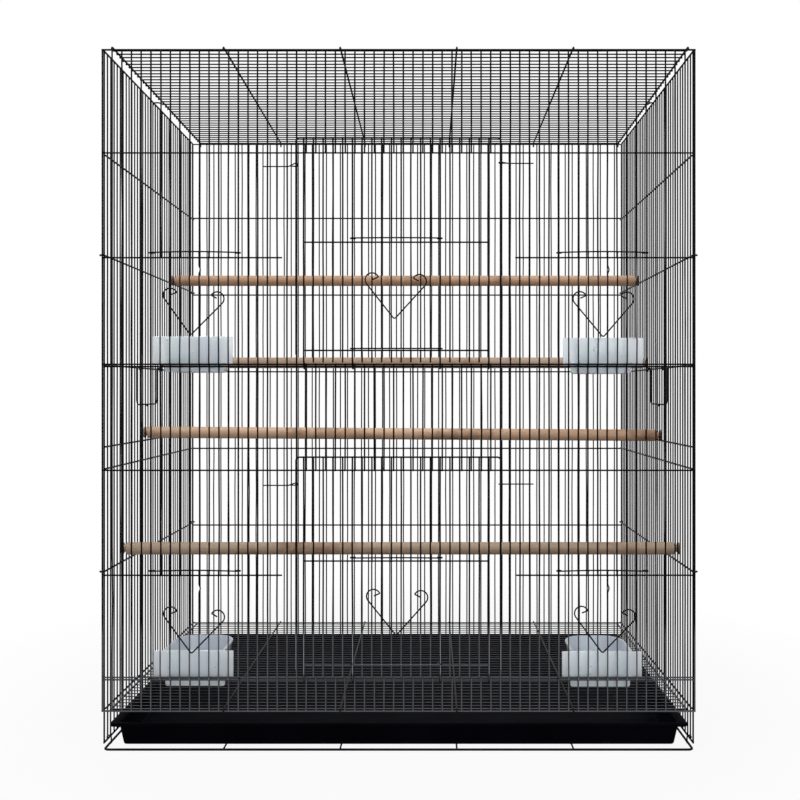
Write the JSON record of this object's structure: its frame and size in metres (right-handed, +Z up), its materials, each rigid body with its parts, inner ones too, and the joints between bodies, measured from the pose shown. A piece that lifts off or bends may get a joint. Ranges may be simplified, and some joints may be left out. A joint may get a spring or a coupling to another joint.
{
  "type": "bird cage",
  "caption": "Tall rectangular wire flight cage with two big drop-down doors, sliding feeder doors, hanging cups, perches and a pull-out tray.",
  "frame": {"origin": "centre of the footprint, on the ground", "axes": "+Z up, -Y towards the front with the doors, +X to the right as seen from the front"},
  "size_m": [0.7686, 0.4694, 0.905],
  "materials": {
    "wire_coat": "satin black powder coat on steel wire",
    "tray_plastic": "black moulded plastic",
    "cup_plastic": "pale blue-white translucent moulded plastic",
    "perch_wood": "plain turned hardwood, unvarnished"
  },
  "bodies": {
    "cage": {"front_panel": "wire_coat", "back_panel": "wire_coat", "left_side_panel": "wire_coat", "right_side_panel": "wire_coat", "roof_panel": "wire_coat", "floor_grate": "wire_coat", "base_frame": "wire_coat", "perch_1": "perch_wood", "perch_2": "perch_wood", "perch_3": "perch_wood", "perch_4": "perch_wood"},
    "tray": {"litter_tray": "tray_plastic"},
    "upper_door": {"upper_door": "wire_coat"},
    "upper_hatch": {"upper_hatch": "wire_coat", "upper_hatch_handle": "wire_coat"},
    "upper_left_latch": {"upper_left_latch": "wire_coat"},
    "upper_left_feeder_door": {"upper_left_feeder_door": "wire_coat", "upper_left_feeder_handle": "wire_coat"},
    "upper_left_cup": {"upper_left_cup": "cup_plastic"},
    "upper_right_latch": {"upper_right_latch": "wire_coat"},
    "upper_right_feeder_door": {"upper_right_feeder_door": "wire_coat", "upper_right_feeder_handle": "wire_coat"},
    "upper_right_cup": {"upper_right_cup": "cup_plastic"},
    "lower_door": {"lower_door": "wire_coat"},
    "lower_hatch": {"lower_hatch": "wire_coat", "lower_hatch_handle": "wire_coat"},
    "lower_left_latch": {"lower_left_latch": "wire_coat"},
    "lower_left_feeder_door": {"lower_left_feeder_door": "wire_coat", "lower_left_feeder_handle": "wire_coat"},
    "lower_left_cup": {"lower_left_cup": "cup_plastic"},
    "lower_right_latch": {"lower_right_latch": "wire_coat"},
    "lower_right_feeder_door": {"lower_right_feeder_door": "wire_coat", "lower_right_feeder_handle": "wire_coat"},
    "lower_right_cup": {"lower_right_cup": "cup_plastic"},
    "left_carry_handle": {"left_carry_handle": "wire_coat"},
    "right_carry_handle": {"right_carry_handle": "wire_coat"}
  },
  "joints": [
    {"name": "tray_slide", "type": "slide", "parent": "cage", "child": "tray", "axis": [0, -1, 0], "range_m": [0, 0.42]},
    {"name": "upper_door_hinge", "type": "hinge", "parent": "cage", "child": "upper_door", "pos_m": [0, -0.222, 0.4952], "axis": [1, 0, 0], "range_deg": [0, 135]},
    {"name": "upper_hatch_slide", "type": "slide", "parent": "upper_door", "child": "upper_hatch", "axis": [0, 0, 1], "range_m": [0, 0.1]},
    {"name": "upper_left_latch_turn", "type": "hinge", "parent": "upper_door", "child": "upper_left_latch", "pos_m": [-0.13103, -0.2291, 0.7518], "axis": [0, 0, 1], "range_deg": [0, 120]},
    {"name": "upper_left_feeder_door_slide", "type": "slide", "parent": "cage", "child": "upper_left_feeder_door", "axis": [0, 0, 1], "range_m": [0, 0.12]},
    {"name": "upper_left_cup_lift", "type": "slide", "parent": "cage", "child": "upper_left_cup", "axis": [0, 0, 1], "range_m": [0, 0.03]},
    {"name": "upper_right_latch_turn", "type": "hinge", "parent": "upper_door", "child": "upper_right_latch", "pos_m": [0.13103, -0.2291, 0.7518], "axis": [0, 0, -1], "range_deg": [0, 120]},
    {"name": "upper_right_feeder_door_slide", "type": "slide", "parent": "cage", "child": "upper_right_feeder_door", "axis": [0, 0, 1], "range_m": [0, 0.12]},
    {"name": "upper_right_cup_lift", "type": "slide", "parent": "cage", "child": "upper_right_cup", "axis": [0, 0, 1], "range_m": [0, 0.03]},
    {"name": "lower_door_hinge", "type": "hinge", "parent": "cage", "child": "lower_door", "pos_m": [0, -0.222, 0.092], "axis": [1, 0, 0], "range_deg": [0, 95]},
    {"name": "lower_hatch_slide", "type": "slide", "parent": "lower_door", "child": "lower_hatch", "axis": [0, 0, 1], "range_m": [0, 0.1]},
    {"name": "lower_left_latch_turn", "type": "hinge", "parent": "lower_door", "child": "lower_left_latch", "pos_m": [-0.13103, -0.2291, 0.3431], "axis": [0, 0, 1], "range_deg": [0, 120]},
    {"name": "lower_left_feeder_door_slide", "type": "slide", "parent": "cage", "child": "lower_left_feeder_door", "axis": [0, 0, 1], "range_m": [0, 0.12]},
    {"name": "lower_left_cup_lift", "type": "slide", "parent": "cage", "child": "lower_left_cup", "axis": [0, 0, 1], "range_m": [0, 0.03]},
    {"name": "lower_right_latch_turn", "type": "hinge", "parent": "lower_door", "child": "lower_right_latch", "pos_m": [0.13103, -0.2291, 0.3431], "axis": [0, 0, -1], "range_deg": [0, 120]},
    {"name": "lower_right_feeder_door_slide", "type": "slide", "parent": "cage", "child": "lower_right_feeder_door", "axis": [0, 0, 1], "range_m": [0, 0.12]},
    {"name": "lower_right_cup_lift", "type": "slide", "parent": "cage", "child": "lower_right_cup", "axis": [0, 0, 1], "range_m": [0, 0.03]},
    {"name": "left_carry_handle_swing", "type": "hinge", "parent": "cage", "child": "left_carry_handle", "pos_m": [-0.3779, -0.0275, 0.4957], "axis": [0, 1, 0], "range_deg": [0, 160]},
    {"name": "right_carry_handle_swing", "type": "hinge", "parent": "cage", "child": "right_carry_handle", "pos_m": [0.3779, -0.0275, 0.4957], "axis": [0, -1, 0], "range_deg": [0, 160]}
  ]
}
